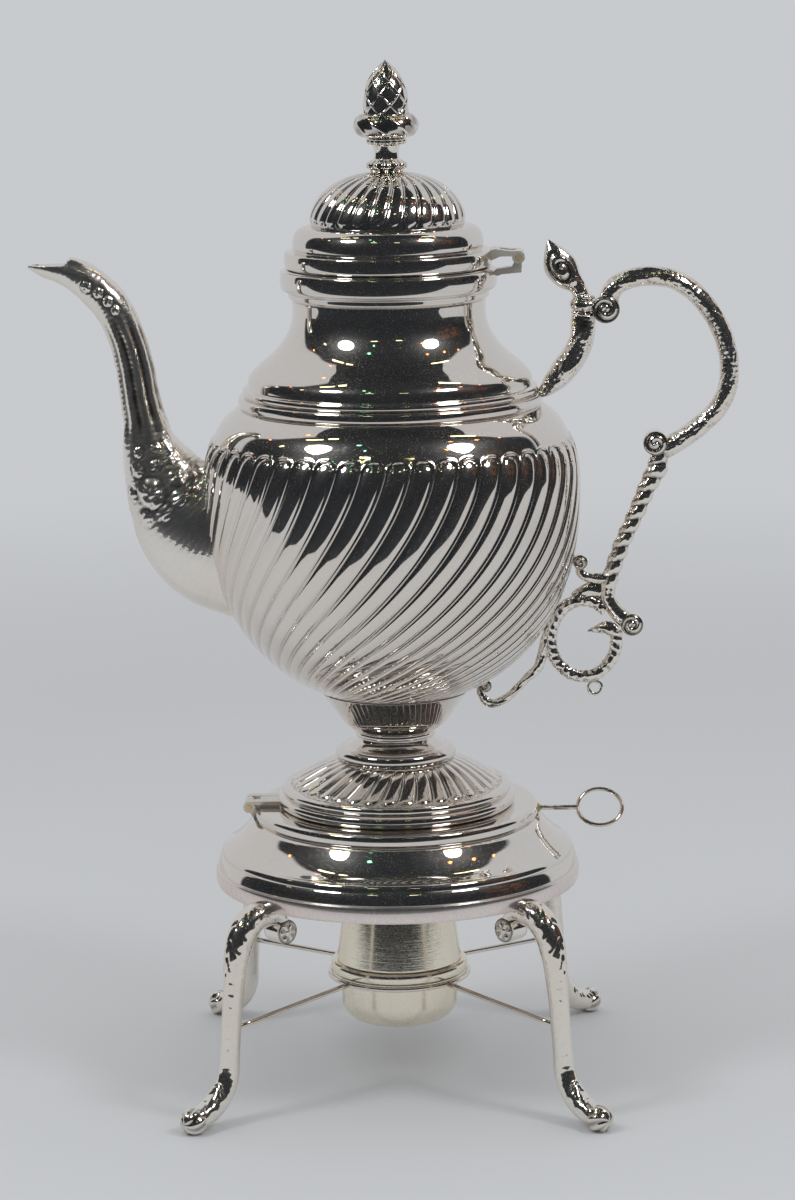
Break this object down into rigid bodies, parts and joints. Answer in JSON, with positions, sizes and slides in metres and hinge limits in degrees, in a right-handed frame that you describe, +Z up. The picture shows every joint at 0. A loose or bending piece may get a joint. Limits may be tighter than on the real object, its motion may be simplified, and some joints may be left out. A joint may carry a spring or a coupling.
{
  "type": "spirit kettle on stand",
  "caption": "Swirl-fluted silver-plated kettle with a hinged lid that tips on a hinged four-legged stand over a spirit burner; a sliding pin with a pull ring locks it upright.",
  "frame": {"origin": "on the table under the kettle's axis, in the middle of the stand's four toes", "axes": "+Z up along the kettle's axis, +X towards the handle and the pull ring, -X towards the spout and the tilting hinge"},
  "size_m": [0.2884, 0.1736, 0.4232],
  "materials": {
    "spun_silver": "spun sheet metal with polished silver plate",
    "cast_silver": "cast and chased metal with silver plate, dark in the recesses",
    "brass": "bare drawn brass",
    "wick": "woven cotton wick"
  },
  "bodies": {
    "stand": {"stand_top": "spun_silver", "stand_rim": "spun_silver", "leg_1": "cast_silver", "leg_2": "cast_silver", "leg_3": "cast_silver", "leg_4": "cast_silver", "spoke_1": "spun_silver", "spoke_2": "spun_silver", "spoke_3": "spun_silver", "spoke_4": "spun_silver", "burner_ring": "spun_silver", "tilt_bracket": "spun_silver", "tilt_pin": "brass", "lock_guide": "brass"},
    "kettle": {"bowl": "spun_silver", "neck": "spun_silver", "collar": "spun_silver", "spout": "cast_silver", "handle_arm": "cast_silver", "thumb_leaf": "cast_silver", "handle_knot": "cast_silver", "handle_scroll": "cast_silver", "handle_stem": "cast_silver", "finger_loop": "cast_silver", "handle_tail": "cast_silver", "foot_cup": "spun_silver", "foot_knop": "spun_silver", "foot_cone": "spun_silver", "foot_base": "spun_silver", "latch_lug": "brass", "tilt_leaf": "spun_silver", "lid_hinge_lower_leaf": "spun_silver", "lid_hinge_pin": "brass"},
    "lid": {"lid_rim": "spun_silver", "lid_dome": "spun_silver", "lid_bezel": "spun_silver", "finial_pineapple": "cast_silver", "finial_stem": "cast_silver", "finial_nut": "brass", "lid_hinge_upper_leaf": "spun_silver"},
    "lock_pin": {"lock_pin": "spun_silver", "pull_ring": "spun_silver"},
    "burner": {"burner_font": "spun_silver", "burner_bead": "spun_silver", "burner_cover": "spun_silver", "wick_holder": "brass", "wick": "wick"}
  },
  "joints": [
    {"name": "kettle_tilt", "type": "hinge", "parent": "stand", "child": "kettle", "pos_m": [-0.0612, 0, 0.1163], "axis": [0, -1, 0], "range_deg": [0, 60]},
    {"name": "lid_hinge", "type": "hinge", "parent": "kettle", "child": "lid", "pos_m": [0.0528, 0, 0.3437], "axis": [0, 1, 0], "range_deg": [0, 90]},
    {"name": "lock_pin_slide", "type": "slide", "parent": "stand", "child": "lock_pin", "axis": [1, 0, 0], "range_m": [-0.008, 0.012]},
    {"name": "burner_lift", "type": "slide", "parent": "stand", "child": "burner", "axis": [0, 0, 1], "range_m": [0, 0.022]}
  ]
}
